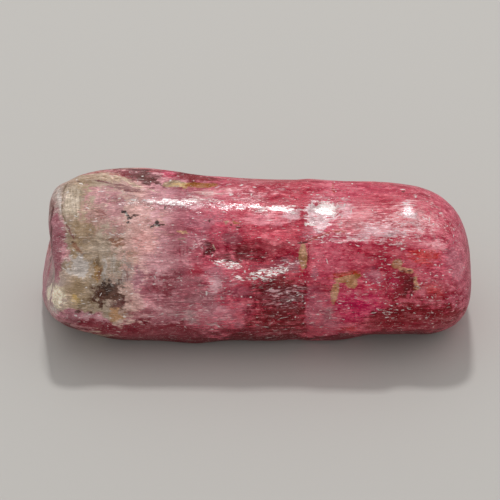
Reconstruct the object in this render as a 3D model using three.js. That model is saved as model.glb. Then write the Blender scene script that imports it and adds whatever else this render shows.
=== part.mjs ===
// A rough tourmaline: one prism of pink-red tourmaline, rolled smooth by water, lying on its flattest side.
// Millimetres. +X runs along the crystal, -Y is the side that is looked at, +Z is up.
// The origin is on the surface it lies on, under the middle of its box.
import * as THREE from "three";
import { mergeVertices } from "three/addons/utils/BufferGeometryUtils.js";

// The crystal as it lies.
const LENGTH = 20;
const DEPTH = 8.1;
const HEIGHT = 7.2;

// How far wear has rounded the edges between two faces.
const EDGE_WEAR = 0.34;
const RIGHT_END_WEAR = 0.6;
const LEFT_END_WEAR = 0.3;

// The long axis runs at this height over the rest face, which cuts this much off the bulge of the underside.
const AXIS_HEIGHT = 3.45;
const REST_FACE_CUT = 0.15;

// The mean distance from the long axis to the skin.
const GIRTH_RADIUS = 3.9;

// The faceted skin has square cells of about this size.
const CELL = 0.39;

// The faces of the prism. The turn goes up from the front (-Y) over the top to the back, in degrees, the
// distance is measured from the long axis, and the taper is how much it grows for each millimetre of +X.
const PRISM_FACES = [
  { face: "rest", turn: -90, distance: AXIS_HEIGHT + REST_FACE_CUT, taper: 0 },
  { face: "lower front", turn: -38, distance: 3.86, taper: -0.012 },
  { face: "front", turn: 2, distance: 4.05, taper: -0.008 },
  { face: "upper front", turn: 38, distance: 3.62, taper: 0 },
  { face: "top", turn: 84, distance: 3.72, taper: -0.01 },
  { face: "upper back", turn: 128, distance: 3.62, taper: -0.025 },
  { face: "back", turn: 172, distance: 4.1, taper: 0.01 },
  { face: "lower back", turn: 214, distance: 3.9, taper: 0 },
];

// The two ends, each a few faces with their outward direction and their distance from the middle of the axis.
const RIGHT_END_FACES = [
  { face: "end", toward: [1, 0, 0.05], distance: 9.88 },
  { face: "front shoulder", toward: [0.66, -0.02, 0.75], distance: 8.65 },
  { face: "top shoulder", toward: [0.6, 0.49, 0.63], distance: 7.9 },
  { face: "lower corner", toward: [0.51, -0.53, -0.68], distance: 8.0 },
  { face: "back shoulder", toward: [0.75, 0.65, 0.1], distance: 9.3 },
];
const LEFT_END_FACES = [
  { face: "end", toward: [-1, -0.07, 0.1], distance: 9.82 },
  { face: "top corner", toward: [-0.28, 0.59, 0.76], distance: 6.18 },
  { face: "lower corner", toward: [-0.43, -0.55, -0.71], distance: 6.75 },
  { face: "back corner", toward: [-0.8, 0.6, 0.25], distance: 9.3 },
];

// Hollows and swellings on the sides. Each lies at x and at a turn round the axis, reaches so far along and
// round the crystal, and is so deep; a swelling has a depth below zero. A flat floor has a steeper rim.
const SIDE_HOLLOWS = [
  { what: "scoop behind the splinter", x: -5.2, turn: 112, along: 1.5, round: 0.75, depth: 0.55 },
  { what: "groove that runs out of the scoop", x: -2.6, turn: 101, along: 1.9, round: 0.6, depth: 0.3 },
  { what: "skyline hump", x: -5.2, turn: 136, along: 2.6, round: 1.1, depth: -0.54 },
  { what: "splinter", x: -6.6, turn: 88, along: 1.5, round: 0.5, depth: -0.12 },
  { what: "chipped flat on the ridge", x: 3.1, turn: 68, along: 0.95, round: 0.8, depth: 0.16, flat: true },
  { what: "scoop above the ledge", x: -0.1, turn: 38, along: 2.3, round: 0.6, depth: 0.22, flat: true },
  { what: "ledge under the scoop", x: 0.1, turn: 26, along: 2.1, round: 0.4, depth: -0.1 },
  { what: "bulge on the right shoulder", x: 6.9, turn: 62, along: 1.7, round: 1.9, depth: -0.14 },
  { what: "glassy hollow", x: 6.8, turn: 14, along: 0.75, round: 0.7, depth: 0.18 },
  { what: "worn underside on the right", x: 6.2, turn: -55, along: 1.7, round: 1.2, depth: 0.22, flat: true },
  { what: "swelling low on the front", x: -3.0, turn: -50, along: 1.3, round: 1.2, depth: -0.14 },
  { what: "dent in the grey corner", x: -7.4, turn: 8, along: 0.9, round: 0.8, depth: 0.18 },
  { what: "long hollow in the back", x: -1.5, turn: 165, along: 4.2, round: 1.0, depth: 0.3 },
  { what: "chip out of the back", x: 5.2, turn: 196, along: 1.2, round: 0.9, depth: 0.32, flat: true },
];

// The broken left end is dished between two lobes. These are the middles of the dishes, in millimetres.
const END_DISHES = [
  { what: "valley between the lobes", at: [-9.9, -1.9, 4.1], reach: [1.2, 1.9, 1.1], depth: 0.5 },
  { what: "hollow behind the valley", at: [-9.8, 1.2, 3.2], reach: [1.2, 1.6, 1.2], depth: 0.4 },
];

// An old break rings the crystal. The piece to the right of it stands a little proud.
const BREAK_X = 2.3;
const BREAK_WAVE = 0.25;
const BREAK_STEP = 0.1;
const BREAK_WIDTH = 0.22;

// Long low waves that wear left in every face, and what is left of the ridges that run along the prism.
// Both die out towards the long axis, so the middles of the ends stay smooth, and the ridges stop short
// of the ends.
const WAVE_DEPTH = 0.06;
const RIDGE_COUNT = 11;
const RIDGE_HEIGHT = 0.035;
const SMOOTH_CORE = 2.4;
const RIDGE_REACH = 8;

// How far the outline of a hollow wanders off a plain oval.
const OUTLINE_WANDER = 0.16;

const MATERIAL = new THREE.MeshStandardMaterial({ color: 0xa8485a, roughness: 0.38, metalness: 0 });

// Distance outside a plane, for a point measured from the middle of the axis.
function outsidePlane(point, face) {
  const direction = new THREE.Vector3(...face.toward).normalize();
  return point.dot(direction) - face.distance;
}

// Distance outside one long face of the prism.
function outsidePrismFace(point, face) {
  const turn = THREE.MathUtils.degToRad(face.turn);
  return -Math.cos(turn) * point.y + Math.sin(turn) * point.z - face.taper * point.x - face.distance;
}

// The largest of some distances, with the corner between two of them rounded off by wear.
function wornLargest(distances, wear) {
  const sum = distances.reduce((total, distance) => total + Math.exp(distance / wear), 0);
  return wear * Math.log(sum);
}

// Where a point lies round the axis, in degrees up from the front.
function turnOf(point) {
  const turn = THREE.MathUtils.radToDeg(Math.atan2(point.z, -point.y));
  return turn < -90 ? turn + 360 : turn;
}

// How much a hollow in a side takes off at a point.
function hollowDepth(point, hollow) {
  const evenAlong = (point.x - hollow.x) / hollow.along;
  const evenRound = (THREE.MathUtils.degToRad(turnOf(point) - hollow.turn) * GIRTH_RADIUS) / hollow.round;
  const along = evenAlong + OUTLINE_WANDER * Math.sin(3.1 * evenRound + hollow.x);
  const round = evenRound + OUTLINE_WANDER * Math.sin(2.7 * evenAlong + hollow.turn);
  const power = hollow.flat ? 4 : 2;
  return hollow.depth * Math.exp(-(Math.abs(along) ** power) - Math.abs(round) ** power);
}

// How much a dish in the left end takes off at a point.
function dishDepth(point, dish) {
  const [x, y, z] = dish.at;
  const [reachX, reachY, reachZ] = dish.reach;
  const square = ((point.x - x) / reachX) ** 2 + ((point.y - y) / reachY) ** 2
    + ((point.z + AXIS_HEIGHT - z) / reachZ) ** 2;
  return dish.depth * Math.exp(-square);
}

// How far the skin stands proud to the right of the old break, whose line wanders as it goes round.
function breakRise(point) {
  const turn = THREE.MathUtils.degToRad(turnOf(point));
  const line = BREAK_X + BREAK_WAVE * (Math.sin(2 * turn + 1.1) + 0.4 * Math.sin(7 * turn));
  return BREAK_STEP * 0.5 * (1 + Math.tanh((point.x - line) / BREAK_WIDTH));
}

// The worn waves and ridges, the same every time. Whole numbers of turns close them round the crystal.
function wornWaves(point) {
  const turn = THREE.MathUtils.degToRad(turnOf(point));
  const lengthwise = Math.sin(0.9 * point.x + 2 * turn) + 0.6 * Math.sin(1.9 * point.x - 3 * turn + 1);
  const round = Math.sin(4 * turn + 0.35 * point.x + 2);
  const ridgeLine = RIDGE_COUNT * turn + 0.6 * Math.sin(0.7 * point.x);
  const ridge = Math.sin(ridgeLine) * Math.cos(0.45 * point.x + turn);
  const fade = Math.min(1, Math.hypot(point.y, point.z) / SMOOTH_CORE) ** 2;
  const ridgeFade = Math.exp(-((point.x / RIDGE_REACH) ** 8));
  return fade * (WAVE_DEPTH * 0.5 * (lengthwise + round) + RIDGE_HEIGHT * ridgeFade * ridge);
}

// Above zero outside the stone and below zero inside it, for a point measured from the middle of the axis.
function outside(point) {
  const sides = wornLargest(PRISM_FACES.map((face) => outsidePrismFace(point, face)), EDGE_WEAR);
  const rightFaces = RIGHT_END_FACES.map((face) => outsidePlane(point, face));
  const withRightEnd = wornLargest([sides, ...rightFaces], RIGHT_END_WEAR);
  const leftFaces = LEFT_END_FACES.map((face) => outsidePlane(point, face));
  let level = wornLargest([withRightEnd, ...leftFaces], LEFT_END_WEAR);
  for (const hollow of SIDE_HOLLOWS) level += hollowDepth(point, hollow);
  for (const dish of END_DISHES) level += dishDepth(point, dish);
  return level - breakRise(point) + wornWaves(point);
}

// Slides a point of the box out or in along its own ray until it lies on the stone's skin.
function onSkin(boxPoint) {
  const root = new THREE.Vector3(boxPoint.x * 0.75, 0, 0);
  const ray = boxPoint.clone().sub(root);
  let near = 0;
  let far = 1.5;
  for (let halving = 0; halving < 24; halving += 1) {
    const middle = (near + far) / 2;
    const inside = outside(root.clone().addScaledVector(ray, middle)) < 0;
    if (inside) near = middle;
    else far = middle;
  }
  return root.addScaledVector(ray, (near + far) / 2);
}

// Brings the worn shape to its stated size, with its middle over the origin and its rest face at z = 0.
function fitToSize(skin) {
  skin.computeBoundingBox();
  const size = skin.boundingBox.getSize(new THREE.Vector3());
  const middle = skin.boundingBox.getCenter(new THREE.Vector3());
  skin.translate(-middle.x, -middle.y, -skin.boundingBox.min.z);
  skin.scale(LENGTH / size.x, DEPTH / size.y, HEIGHT / size.z);
}

function crystalGeometry() {
  const cells = [LENGTH, DEPTH, HEIGHT].map((size) => Math.round(size / CELL));
  const box = new THREE.BoxGeometry(LENGTH, DEPTH, HEIGHT, ...cells);
  box.deleteAttribute("normal");
  box.deleteAttribute("uv");
  const skin = mergeVertices(box);
  const position = skin.getAttribute("position");
  const point = new THREE.Vector3();
  for (let index = 0; index < position.count; index += 1) {
    point.fromBufferAttribute(position, index);
    const worn = onSkin(point);
    position.setXYZ(index, worn.x, worn.y, Math.max(worn.z, -AXIS_HEIGHT) + AXIS_HEIGHT);
  }
  fitToSize(skin);
  skin.computeVertexNormals();
  return skin;
}

const crystal = new THREE.Mesh(crystalGeometry(), MATERIAL);
crystal.name = "tourmaline_crystal";

const group = new THREE.Group();
group.add(crystal);

export default group;
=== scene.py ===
import math

import bpy
import numpy as np
from mathutils import Euler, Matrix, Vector, noise
from mathutils.bvhtree import BVHTree


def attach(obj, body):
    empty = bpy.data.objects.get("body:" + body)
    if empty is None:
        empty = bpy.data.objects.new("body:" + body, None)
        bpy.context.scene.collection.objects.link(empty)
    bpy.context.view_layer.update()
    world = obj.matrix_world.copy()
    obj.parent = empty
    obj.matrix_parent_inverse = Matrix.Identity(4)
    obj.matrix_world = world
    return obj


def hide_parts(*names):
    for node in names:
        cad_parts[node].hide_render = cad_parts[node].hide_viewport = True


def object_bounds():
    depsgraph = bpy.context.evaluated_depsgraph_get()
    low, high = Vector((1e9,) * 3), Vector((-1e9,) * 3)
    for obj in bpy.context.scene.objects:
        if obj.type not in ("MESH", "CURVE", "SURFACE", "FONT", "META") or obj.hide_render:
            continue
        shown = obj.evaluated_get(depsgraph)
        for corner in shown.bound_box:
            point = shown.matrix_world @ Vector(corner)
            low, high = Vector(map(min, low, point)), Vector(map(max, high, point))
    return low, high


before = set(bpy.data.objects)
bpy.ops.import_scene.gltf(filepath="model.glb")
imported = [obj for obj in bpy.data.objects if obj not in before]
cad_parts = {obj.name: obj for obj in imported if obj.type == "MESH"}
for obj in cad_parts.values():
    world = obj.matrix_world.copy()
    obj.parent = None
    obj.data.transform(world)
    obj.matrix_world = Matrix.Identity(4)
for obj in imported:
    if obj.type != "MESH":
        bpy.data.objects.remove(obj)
cad_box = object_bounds()


# The crystal: one prism of rubellite, the pink-red tourmaline, rolled in water until its edges went round.
# Its left end is a dished break, a healed break runs round its right third, and its front has shallow scoops.
# It starts from the plain solid, whose facets are rounded off, and is then worn finer in code, as by hand.
MM = 0.001
SMOOTHING_LEVELS = 2
MERGE_DISTANCE = 0.002 * MM

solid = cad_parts["tourmaline_crystal"]
crystal = bpy.data.objects.new("rubellite_crystal", solid.data.copy())
bpy.context.scene.collection.objects.link(crystal)
bpy.ops.object.select_all(action="DESELECT")
bpy.context.view_layer.objects.active = crystal
crystal.select_set(True)
bpy.ops.mesh.customdata_custom_splitnormals_clear()
bpy.ops.object.mode_set(mode="EDIT")
bpy.ops.mesh.select_all(action="SELECT")
bpy.ops.mesh.remove_doubles(threshold=MERGE_DISTANCE)
bpy.ops.mesh.tris_convert_to_quads()
bpy.ops.object.mode_set(mode="OBJECT")
rounding = crystal.modifiers.new("rounded by wear", "SUBSURF")
rounding.levels = SMOOTHING_LEVELS
rounding.render_levels = SMOOTHING_LEVELS
bpy.ops.object.modifier_apply(modifier=rounding.name)
bpy.ops.object.shade_smooth()


# What shows on the stone is noted as the eye meets it from the front: so far along the crystal and so far up,
# in millimetres, on a card that stands in its middle and faces the eye.
EYE_RISE = math.radians(38)
EYE_DISTANCE = 128.2
AXIS_HEIGHT = 3.45
CARD_MIDDLE = Vector((-0.217, 0, 3.71))
TOWARD_EYE = Vector((0, -math.cos(EYE_RISE), math.sin(EYE_RISE)))
CARD_UP = Vector((0, math.sin(EYE_RISE), math.cos(EYE_RISE)))
EYE = CARD_MIDDLE + TOWARD_EYE * EYE_DISTANCE
CARD_ORIGIN = Vector((0, 0, AXIS_HEIGHT))


def on_card(points):
    """Where points show on the card, along and up, for points in millimetres."""
    away = points - np.array(EYE)
    depth = -away @ np.array(TOWARD_EYE)
    shown = np.array(EYE) + away * (EYE_DISTANCE / depth)[:, None]
    return shown[:, 0], (shown - np.array(CARD_ORIGIN)) @ np.array(CARD_UP)


def oval(along, up, mark):
    """How far out a point lies in an oval mark: 0 in its middle and 1 on its rim."""
    middle_along, middle_up, half_along, half_up, tilt = mark
    lean = math.radians(tilt)
    east = along - middle_along
    north = up - middle_up
    across = (east * math.cos(lean) + north * math.sin(lean)) / half_along
    over = (north * math.cos(lean) - east * math.sin(lean)) / half_up
    return np.hypot(across, over)


def along_path(along, up, path):
    """The distance from a point to a line of straight stretches."""
    nearest = np.full(len(along), np.inf)
    for (start_along, start_up), (end_along, end_up) in zip(path, path[1:]):
        step = np.array([end_along - start_along, end_up - start_up])
        share = ((along - start_along) * step[0] + (up - start_up) * step[1]) / (step @ step)
        share = np.clip(share, 0, 1)
        gap = np.hypot(along - start_along - share * step[0], up - start_up - share * step[1])
        nearest = np.minimum(nearest, gap)
    return nearest


# Where the skin has fine relief it gets finer faces: the lowest and highest place along and up.
FINE_PLACES = [
    ("ledges under the scoop", -3.1, -1.6, 2.7, 1.3),
    ("chip on the ridge", 1.9, 1.0, 4.3, 3.0),
    ("ridge", -6.2, 2.0, 1.9, 2.9),
    ("splinter and groove", -8.3, 2.9, -0.8, 4.2),
]
FACING_THE_EYE = 0.15

middles = np.array([face.center for face in crystal.data.polygons]) / MM
directions = np.array([face.normal for face in crystal.data.polygons])
face_along, face_up = on_card(middles)
fine = np.zeros(len(middles), dtype=bool)
for what, low_along, low_up, high_along, high_up in FINE_PLACES:
    fine |= (face_along > low_along) & (face_along < high_along) & (face_up > low_up) & (face_up < high_up)
fine &= directions @ np.array(TOWARD_EYE) > FACING_THE_EYE
bpy.ops.object.mode_set(mode="EDIT")
bpy.ops.mesh.select_mode(type="FACE")
bpy.ops.mesh.select_all(action="DESELECT")
bpy.ops.object.mode_set(mode="OBJECT")
crystal.data.polygons.foreach_set("select", fine)
bpy.ops.object.mode_set(mode="EDIT")
bpy.ops.mesh.subdivide(number_cuts=1, ngon=False)
bpy.ops.object.mode_set(mode="OBJECT")
bpy.ops.object.shade_smooth()

# Wear left low waves and lengthwise ribs all over. Each has a size in millimetres along and across the
# crystal, and a height.
WEAR = [
    {"what": "low waves", "along": 1.3, "across": 0.9, "height": 0.020},
    {"what": "fine waves", "along": 0.5, "across": 0.35, "height": 0.008},
    {"what": "lengthwise ribs", "along": 3.2, "across": 0.36, "height": 0.010},
    {"what": "chatter", "along": 0.3, "across": 0.13, "height": 0.003},
]

# Dents, and swellings, whose depth is below zero: along, up, half length, half width, lean in degrees, depth,
# and how flat the floor is. 2 is a round dent, and 6 a flat one with a steep rim.
DENTS = [
    ("pit left of the scoop", -2.1, 0.22, 0.26, 0.3, 20, 0.1, 3),
    ("glassy hollow", 6.65, -1.6, 0.66, 0.72, 0, 0.12, 6),
    ("hollow in the dark patch", -6.65, -1.8, 0.7, 0.6, 0, 0.06, 3),
    ("dent of the amber streak", -7.28, -0.8, 0.17, 0.6, 5, 0.05, 3),
    ("silvery hollow", -8.1, -0.6, 0.5, 0.5, 0, 0.05, 3),
    ("valley of the end face", -9.2, 0.2, 0.5, 1.0, 0, 0.05, 3),
    ("lobe at the lower left", -9.4, -1.95, 0.4, 0.7, 0, -0.05, 3),
    ("notch low on the left", -8.15, -2.7, 0.22, 0.1, 10, 0.1, 2),
    ("second notch low on the left", -7.58, -2.7, 0.14, 0.08, 0, 0.07, 2),
    ("pale lobe low on the left", -7.22, -2.98, 0.24, 0.36, -8, -0.06, 3),
    ("swelling of the cream corner", -8.4, 2.5, 0.42, 0.95, 3, -0.04, 4),
    ("mark over the brown", -7.05, 2.9, 0.3, 0.06, 0, 0.03, 2),
    ("worn hollow in the mauve", -4.1, -1.5, 1.2, 0.6, 0, 0.03, 3),
    ("window in the red", 5.5, -0.95, 0.45, 0.38, 0, 0.05, 6),
    ("knob on the right shoulder", 7.15, 1.8, 0.5, 0.6, 0, -0.15, 2),
    ("dip under the dashes", -6.35, 0.66, 0.34, 0.1, 0, 0.05, 2),
    ("second dip under the dashes", -6.2, 0.42, 0.26, 0.07, -8, 0.03, 2),
    ("first speck pit", -5.75, 1.75, 0.16, 0.1, -20, 0.04, 3),
    ("second speck pit", -4.5, 1.35, 0.14, 0.1, 10, 0.05, 3),
    ("tan filling of the break", 2.24, -0.1, 0.2, 0.6, 0, 0.04, 6),
    ("left leg of the tooth", 3.73, -1.75, 0.15, 0.5, -14, 0.03, 6),
    ("right lobe of the tooth", 4.5, -1.25, 0.28, 0.3, 0, 0.03, 6),
    ("olive blob by the hollow", 6.6, -0.42, 0.28, 0.26, 0, 0.03, 6),
    ("ochre pit in the groove", -2.4, 3.2, 0.45, 0.12, -4, 0.06, 3),
    ("olive pit in the groove", -3.7, 3.2, 0.5, 0.15, -4, 0.05, 3),
]

# Terraces: flakes that came off above a lip. Each has the lip's path, how deep it was cut there, how wide the
# face of the cut is and how far up it dies out.
TERRACES = [
    ("scoop's lower rim",
     [(-2.6, 0.3), (-2.2, 0.0), (-1.7, -0.2), (-1.0, -0.3), (-0.4, -0.5), (0.4, -0.66), (1.2, -0.62),
      (1.9, -0.5)],
     0.06, 0.14, 0.9),
    ("first ledge", [(-1.75, -0.3), (-1.3, -0.42), (-0.85, -0.5), (-0.55, -0.52)], 0.08, 0.09, 0.3),
    ("second ledge",
     [(-0.5, -0.68), (-0.2, -0.86), (0.15, -0.8), (0.7, -0.82), (1.45, -0.68)], 0.09, 0.09, 0.3),
    ("third ledge", [(-1.15, -1.2), (-0.5, -1.2), (0.1, -1.2), (0.8, -1.1)], 0.06, 0.08, 0.2),
    ("flake under the ledge", [(0.45, -1.72), (0.7, -1.6), (1.0, -1.56), (1.3, -1.5)], 0.04, 0.09, 0.25),
    ("flake by the break", [(0.95, -2.3), (1.4, -2.2), (1.9, -2.1), (2.3, -2.0)], 0.06, 0.1, 0.35),
    ("second flake by the break", [(1.0, -1.92), (1.3, -1.8), (1.7, -1.8), (2.3, -1.85)], 0.04, 0.08, 0.2),
    ("scuffs in the maroon",
     [(0.4, -3.35), (0.7, -3.2), (1.1, -2.98), (1.5, -2.9), (2.1, -2.92)], 0.05, 0.09, 0.3),
    ("lip over the crimson band",
     [(3.2, 0.45), (4.0, 0.6), (5.2, 0.62), (6.2, 0.62), (7.0, 0.66)], 0.06, 0.16, 0.5),
    ("rim of the tooth", [(3.5, -1.08), (4.0, -1.02), (4.9, -0.8)], 0.05, 0.08, 0.2),
    ("scuffs low on the right",
     [(5.2, -2.75), (5.8, -2.6), (6.6, -2.5), (7.0, -2.5), (7.5, -2.72)], 0.05, 0.1, 0.25),
    ("groove's upper lip", [(-4.5, 3.02), (-3.2, 2.95), (-2.2, 3.0), (-1.2, 3.15)], 0.06, 0.1, 0.3),
    ("flake in the mauve", [(-4.3, -2.85), (-3.4, -3.05), (-2.6, -3.35), (-1.6, -3.5)], 0.05, 0.12, 0.4),
]

# Cracks, and the ridge between the top and the front: a path, a width and a depth, below zero for a ridge.
CRACKS = [
    ("body of the ridge", [(-8.2, 3.0), (-5.75, 2.68), (-3.0, 2.5), (0.0, 2.3), (2.0, 2.15)], 0.9, -0.09),
    ("edge of the ridge",
     [(-6.4, 2.68), (-5.0, 2.52), (-3.0, 2.34), (0.0, 2.16), (1.9, 1.98)], 0.26, -0.035),
    ("crack round the left corner",
     [(-8.72, 3.26), (-8.82, 2.9), (-8.9, 2.5), (-8.9, 2.1), (-8.82, 1.6), (-8.7, 1.34), (-8.4, 0.9)],
     0.06, 0.06),
    ("crack under the chipped flat",
     [(2.0, 0.52), (2.45, 0.58), (3.0, 0.74), (3.5, 0.95), (4.15, 1.02)], 0.06, 0.06),
    ("groove under the splinter", [(-7.2, 3.3), (-6.2, 3.1), (-5.3, 2.95), (-4.4, 2.8)], 0.09, 0.06),
    ("splinter", [(-8.0, 3.48), (-7.0, 3.62), (-6.4, 3.55), (-5.7, 3.25), (-5.0, 3.08)], 0.16, -0.07),
    ("crack down from the skyline notch", [(3.65, 3.35), (3.62, 3.1), (3.72, 2.85)], 0.05, 0.05),
    ("seam of the old break", [(2.36, -0.8), (2.34, -1.6), (2.4, -2.4), (2.34, -3.9)], 0.06, 0.03),
]

# Flats: chips that cut the skin to a plane. Each has its middle along and up, its half length, half width and
# lean, how many degrees above the floor it faces, and how deep it cuts in its middle.
FLATS = [
    ("chipped flat on the ridge", 3.2, 1.98, 0.66, 0.42, -2, 75, 0.14),
    ("tail of the chipped flat", 2.9, 1.45, 0.42, 0.22, -10, 72, 0.06),
    ("first polished flat of the ridge", -1.55, 2.3, 0.45, 0.14, -5, 75, 0.015),
    ("second polished flat of the ridge", -0.75, 2.24, 0.45, 0.14, -5, 75, 0.015),
    ("third polished flat of the ridge", 0.05, 2.17, 0.45, 0.13, -5, 75, 0.015),
    ("fourth polished flat of the ridge", 1.1, 2.06, 0.4, 0.1, -5, 75, 0.012),
    ("fifth polished flat of the ridge", -2.9, 2.38, 0.4, 0.1, -5, 75, 0.01),
    ("sixth polished flat of the ridge", -4.0, 2.44, 0.35, 0.08, -5, 75, 0.01),
    ("seventh polished flat of the ridge", -4.9, 2.5, 0.3, 0.07, -5, 75, 0.008),
    ("worn top of the knob", 7.13, 1.98, 0.22, 0.28, 0, 75, 0.02),
]
FLAT_RIM = 8

# Every mark has a ragged rim: the size of its coarse and fine rags, and how far they move it. Without a seed
# the rags would come out differently each time.
RAG_SEED = 1
RAG_SIZE = 0.35
RAG_REACH = 0.08
FINE_RAG_SIZE = 0.12
FINE_RAG_REACH = 0.035

# A mark fades where the skin turns away from the eye, a lip fades towards its ends, and all wear fades
# towards the flat that the stone lies on. Each kind of wave is shifted, so that no two line up.
FACING_FADE = 0.3
WELL_IN_VIEW = 0.5
LIP_FADE = 0.3
REST_FADE = 0.3
WAVE_SHIFT = 7.3


def wear_skin(mesh):
    """Moves every point of the crystal in or out by the wear, dents, terraces, cracks and flats above."""
    count = len(mesh.vertices)
    points = np.empty(count * 3)
    normals = np.empty(count * 3)
    mesh.vertices.foreach_get("co", points)
    mesh.vertices.foreach_get("normal", normals)
    points = points.reshape(-1, 3) / MM
    normals = normals.reshape(-1, 3)
    along, up = on_card(points)
    noise.seed_set(RAG_SEED)
    rags = np.array([noise.noise_vector(spot / RAG_SIZE) for spot in points])
    fine_rags = np.array([noise.noise_vector(spot / FINE_RAG_SIZE) for spot in points])
    along = along + RAG_REACH * rags[:, 0] + FINE_RAG_REACH * fine_rags[:, 0]
    up = up + RAG_REACH * rags[:, 1] + FINE_RAG_REACH * fine_rags[:, 1]
    facing = np.clip((normals @ np.array(TOWARD_EYE)) / FACING_FADE, 0, 1)
    rise = np.zeros(count)
    for number, wear in enumerate(WEAR):
        stretched = points / np.array([wear["along"], wear["across"], wear["across"]]) + WAVE_SHIFT * number
        rise += wear["height"] * np.array([noise.noise(spot) for spot in stretched])
    for what, *mark, depth, power in DENTS:
        rise -= facing * depth * np.exp(-oval(along, up, mark) ** power)
    for what, lip, depth, face, reach in TERRACES:
        lip_along, lip_up = np.array(lip).T
        over = up - np.interp(along, lip_along, lip_up)
        left_end = np.clip((along - lip_along[0]) / LIP_FADE, 0, 1)
        right_end = np.clip((lip_along[-1] - along) / LIP_FADE, 0, 1)
        step = np.clip(over / face + 0.5, 0, 1)
        smooth_step = step * step * (3 - 2 * step)
        dying_out = np.exp(-np.clip(over / reach, 0, None) ** 2)
        rise -= facing * depth * left_end * right_end * smooth_step * dying_out
    for what, path, width, depth in CRACKS:
        rise -= facing * depth * np.exp(-((along_path(along, up, path) / width) ** 2))
    for what, *mark, turn, depth in FLATS:
        inside = np.exp(-oval(along, up, mark) ** FLAT_RIM) * facing
        turn = math.radians(turn)
        level = points @ np.array([0, -math.cos(turn), math.sin(turn)]) + rise
        middle = np.argmin(np.where(facing > WELL_IN_VIEW, oval(along, up, mark), np.inf))
        rise -= inside * np.clip(level - level[middle] + depth, 0, None)
    off_the_rest = np.clip(points[:, 2] / REST_FADE, 0, 1)
    points += normals * (rise * off_the_rest)[:, None]
    low, high = (np.array(corner) / MM for corner in cad_box)
    points = np.clip(points, low, high)
    mesh.vertices.foreach_set("co", (points * MM).ravel())
    mesh.update()


wear_skin(crystal.data)

# The finish of the stone. Rubellite has an IOR of 1.62 to 1.64. Its worn skin is half frosted and half
# polished, so it shines on the ridges and looks chalky where it is scuffed. Its colour runs in zones.
STONE_IOR = 1.63


def linear(hex_colour):
    """An sRGB hex colour as the linear values that a shader takes."""
    channels = [int(hex_colour[place:place + 2], 16) / 255 for place in (1, 3, 5)]
    return [c / 12.92 if c <= 0.04045 else ((c + 0.055) / 1.055) ** 2.4 for c in channels] + [1.0]


def add(tree, kind, inputs=(), **settings):
    """Adds one shader node with its settings, and links or sets its inputs, listed in order or by name."""
    made = tree.nodes.new("ShaderNode" + kind)
    for name, value in settings.items():
        setattr(made, name, value)
    by_socket = inputs if isinstance(inputs, dict) else dict(enumerate(inputs))
    for socket, value in by_socket.items():
        if isinstance(value, bpy.types.NodeSocket):
            tree.links.new(value, made.inputs[socket])
        else:
            made.inputs[socket].default_value = value
    return made


stone = bpy.data.materials.new("worn rubellite")
stone.use_nodes = True
stone.node_tree.nodes.clear()
tree = stone.node_tree
place = add(tree, "TexCoord").outputs["Object"]
millimetres = add(tree, "VectorMath", {"Vector": place, "Scale": 1 / MM}, operation="SCALE").outputs[0]


def pushed(size, reach):
    """A place moved by a noise of that grain size, up to that reach each way, both in millimetres."""
    colour = add(tree, "TexNoise", {"Vector": millimetres, "Scale": 1 / size, "Detail": 2}).outputs["Color"]
    both_ways = [colour, [2 * reach] * 3, [-reach] * 3]
    push = add(tree, "VectorMath", both_ways, operation="MULTIPLY_ADD").outputs[0]
    return add(tree, "VectorMath", [millimetres, push], operation="ADD").outputs[0]


def pattern(spot, along, across, detail=4, roughness=0.6, offset=0, waves=0):
    """A noise whose grains are that many millimetres along and across the crystal, from 0 to 1."""
    stretched = add(tree, "Mapping", {
        "Vector": spot,
        "Location": [offset] * 3,
        "Scale": (1 / along, 1 / across, 1 / across),
    }).outputs[0]
    inputs = {"Vector": stretched, "Scale": 1, "Detail": detail, "Roughness": roughness, "Distortion": waves}
    return add(tree, "TexNoise", inputs).outputs["Fac"]


soft_place = pushed(1.2, 0.5)
fine_place = pushed(0.35, 0.26)
hair_place = pushed(0.22, 0.07)
mottle = pattern(millimetres, 0.45, 0.35, detail=6, roughness=0.75)
streaks = pattern(soft_place, 2.2, 0.3, detail=5, roughness=0.65, offset=11)
blotches = pattern(millimetres, 0.3, 0.24, detail=4, offset=23)
hairs = pattern(millimetres, 1.4, 0.09, detail=3, roughness=0.6, offset=23, waves=0.6)
grit = pattern(millimetres, 0.13, 0.08, detail=3, roughness=0.6, offset=31)

# The fine grain: hairs along the crystal, and only blotches on its weathered left end. A smooth step ends by
# itself, so its clamp is left off, and the renderer's memory for the nodes is spared.
WEATHERED_END = (-6.8, -5.0)
LENGTHWISE = (1, 0, 0)
SMOOTH_STEP = {"interpolation_type": "SMOOTHSTEP", "clamp": False}
skin_along = add(tree, "VectorMath", [millimetres, LENGTHWISE], operation="DOT_PRODUCT").outputs["Value"]
fresh = add(tree, "MapRange", [skin_along, *WEATHERED_END], **SMOOTH_STEP).outputs[0]
grain = add(tree, "Mix", {"Factor": fresh, "A": blotches, "B": hairs}, data_type="FLOAT").outputs[0]
cross_ribs = pattern(millimetres, 0.17, 1.4, detail=3, roughness=0.6, offset=47, waves=0.6)

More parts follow.
